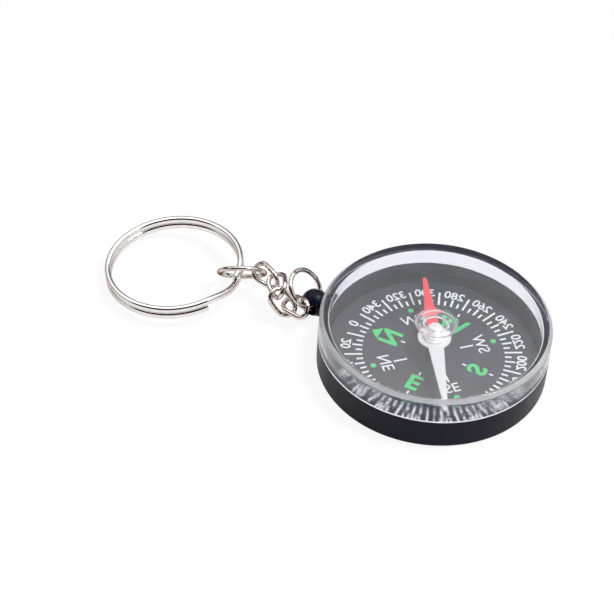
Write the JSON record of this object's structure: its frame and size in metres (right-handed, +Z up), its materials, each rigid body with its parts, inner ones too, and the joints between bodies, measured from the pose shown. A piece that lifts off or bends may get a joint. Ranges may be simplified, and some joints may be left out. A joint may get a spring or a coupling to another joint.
{
  "type": "compass keychain",
  "caption": "Round pocket compass with a spinning needle under a clear cap in a black cup, on a short curb chain with jump rings and a split key ring.",
  "frame": {"origin": "middle of the cup's flat underside", "axes": "+Z up through the dial, -X along the lug towards the chain and the key ring"},
  "size_m": [0.0808, 0.04, 0.0109],
  "materials": {
    "black_plastic": "moulded black plastic with a soft gloss",
    "printed_card": "dark grey card with a white and green printed scale",
    "pin_steel": "turned steel",
    "clear_acrylic": "clear polished acrylic",
    "needle_paint": "thin steel painted red on one half and white on the other",
    "cap_metal": "pale turned metal",
    "nickel": "polished nickel plate"
  },
  "bodies": {
    "case": {"base_case": "black_plastic", "dial_card": "printed_card", "pivot_pin": "pin_steel", "lens_cover": "clear_acrylic"},
    "needle": {"needle_blade": "needle_paint", "needle_cap": "cap_metal"},
    "case_ring": {"case_jump_ring": "nickel"},
    "link_1": {"chain_link_1": "nickel"},
    "link_2": {"chain_link_2": "nickel"},
    "link_3": {"chain_link_3": "nickel"},
    "link_4": {"chain_link_4": "nickel"},
    "key_side_ring": {"key_jump_ring": "nickel"},
    "key_ring": {"split_ring": "nickel"}
  },
  "joints": [
    {"name": "needle_spin", "type": "hinge", "parent": "case", "child": "needle", "pos_m": [0, 0, 0.00775], "axis": [0, 0, 1], "continuous": true},
    {"name": "case_ring_swing", "type": "hinge", "parent": "case", "child": "case_ring", "pos_m": [-0.0229, 0, 0.0035], "axis": [0, 1, 0], "range_deg": [-95, 50]},
    {"name": "link_1_swing", "type": "hinge", "parent": "case_ring", "child": "link_1", "pos_m": [-0.02398, -0.00316, 0.00459], "axis": [-0.6375, -0.4226, 0.6442], "range_deg": [-3, 65]},
    {"name": "link_2_swing", "type": "hinge", "parent": "link_1", "child": "link_2", "pos_m": [-0.02592, -0.00308, 0.00412], "axis": [-0.269, -0.1132, 0.9565], "range_deg": [-6, 60]},
    {"name": "link_3_swing", "type": "hinge", "parent": "link_2", "child": "link_3", "pos_m": [-0.02827, -0.00383, 0.00503], "axis": [-0.6907, 0.3754, -0.6181], "range_deg": [-85, 8]},
    {"name": "link_4_swing", "type": "hinge", "parent": "link_3", "child": "link_4", "pos_m": [-0.03021, -0.00108, 0.00591], "axis": [-0.241, -0.1429, 0.9599], "range_deg": [-70, 35]},
    {"name": "key_side_ring_swing", "type": "hinge", "parent": "link_4", "child": "key_side_ring", "pos_m": [-0.03357, -0.00022, 0.00559], "axis": [0.1634, 0.6626, -0.7309], "range_deg": [-60, 110]},
    {"name": "key_ring_swing", "type": "hinge", "parent": "key_side_ring", "child": "key_ring", "pos_m": [-0.03835, -0.0035, 0.00673], "axis": [0.8791, 0.0828, 0.4694], "range_deg": [-15, 85]}
  ]
}
